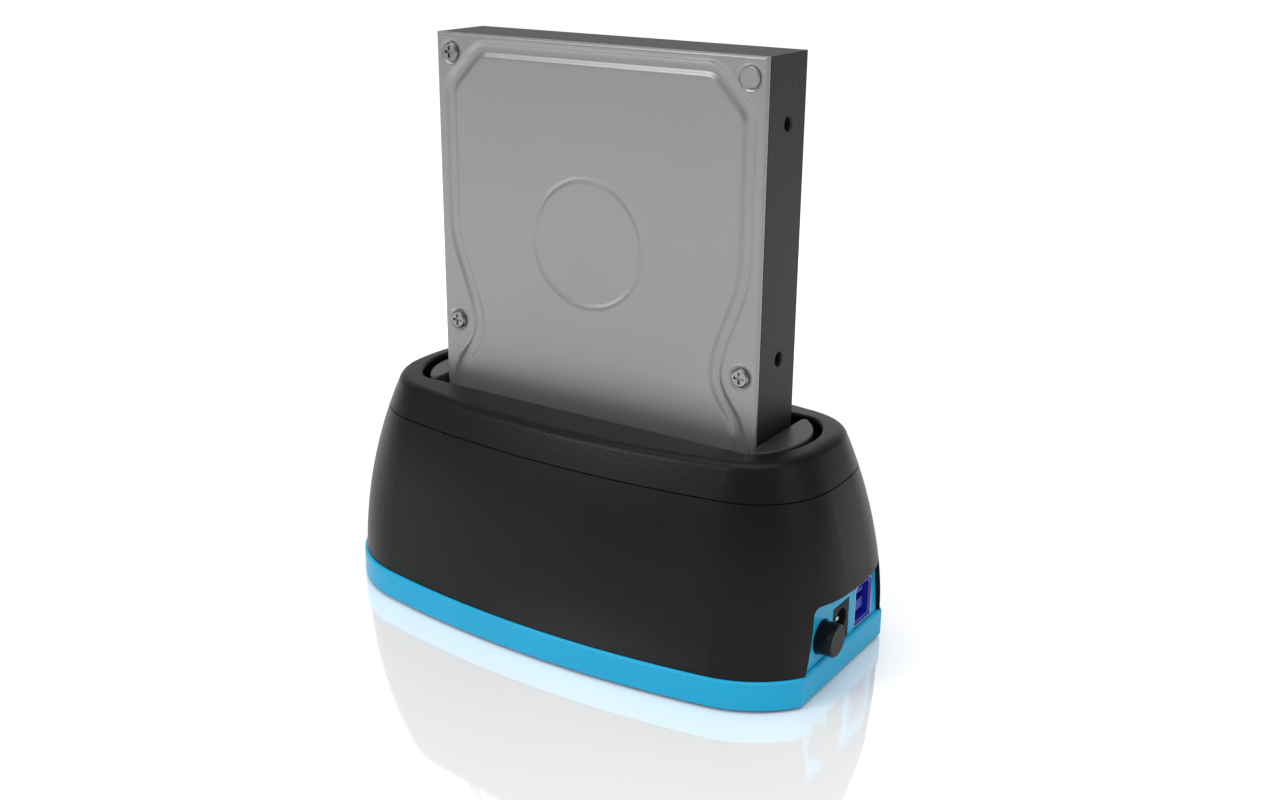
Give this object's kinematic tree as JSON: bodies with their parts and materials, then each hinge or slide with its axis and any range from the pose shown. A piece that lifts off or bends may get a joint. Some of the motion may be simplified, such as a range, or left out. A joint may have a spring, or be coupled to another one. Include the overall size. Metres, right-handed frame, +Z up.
{
  "type": "hard drive docking station",
  "caption": "Desktop dock for a bare hard drive: black oval shell on a blue base, slot in the roof with a removable drive standing in it, push button, power inlet and USB socket on one end.",
  "frame": {"origin": "on the surface the dock stands on, below the middle of the drive slot", "axes": "+X along the dock towards the end with the button and sockets, -Y towards the front, which the drive's cover faces, +Z up"},
  "size_m": [0.1581, 0.083, 0.1592],
  "materials": {
    "base_blue": "satin",
    "shell_black": "satin",
    "bay_black": "satin",
    "foot_rubber": "matte",
    "board_green": "satin",
    "connector_black": "matte",
    "contact_gold": "bright",
    "usb_blue": "satin",
    "plated_steel": "bright",
    "button_black": "satin",
    "switch_grey": "matte",
    "chip_black": "matte",
    "lead_tin": "satin",
    "can_aluminium": "satin",
    "chip_ceramic": "matte",
    "screw_steel": "bright",
    "drive_steel": "satin",
    "drive_aluminium": "matte",
    "gasket_rubber": "matte"
  },
  "bodies": {
    "dock": {"base_tray": "base_blue", "lower_shell": "shell_black", "top_cover": "shell_black", "drive_bay": "bay_black", "rubber_feet": "foot_rubber", "main_board": "board_green", "sata_receptacle": "connector_black", "dc_jack_body": "connector_black", "capacitor_bases": "connector_black", "sata_contacts": "contact_gold", "usb_contacts": "contact_gold", "usb_insulator": "usb_blue", "usb_shield": "plated_steel", "dc_jack_pin": "plated_steel", "dc_jack_spring": "plated_steel", "switch_terminals": "plated_steel", "crystal_can": "plated_steel", "switch_body": "switch_grey", "bridge_chip": "chip_black", "flash_chip": "chip_black", "regulator_chip": "chip_black", "power_inductors": "chip_black", "bridge_chip_leads": "lead_tin", "flash_chip_leads": "lead_tin", "regulator_leads": "lead_tin", "capacitor_cans": "can_aluminium", "chip_capacitors": "chip_ceramic", "board_screws": "screw_steel", "base_screws": "screw_steel", "bay_screws": "screw_steel"},
    "button": {"power_button": "button_black", "button_stem": "switch_grey"},
    "drive": {"drive_casting": "drive_aluminium", "drive_cover": "drive_steel", "drive_gasket": "gasket_rubber", "drive_motor_cup": "drive_steel", "drive_board": "board_green", "drive_cover_screws": "screw_steel", "drive_cover_plug": "drive_steel", "drive_board_screws": "screw_steel", "drive_sata_plug": "connector_black", "drive_sata_contacts": "contact_gold"}
  },
  "joints": [
    {"name": "drive_lift", "type": "slide", "parent": "dock", "child": "drive", "axis": [0, 0, 1], "range_m": [0, 0.06]},
    {"name": "power_button_press", "type": "slide", "parent": "dock", "child": "button", "axis": [-1, 0, 0], "range_m": [0, 0.0016], "stiffness_N_per_m": 600}
  ]
}
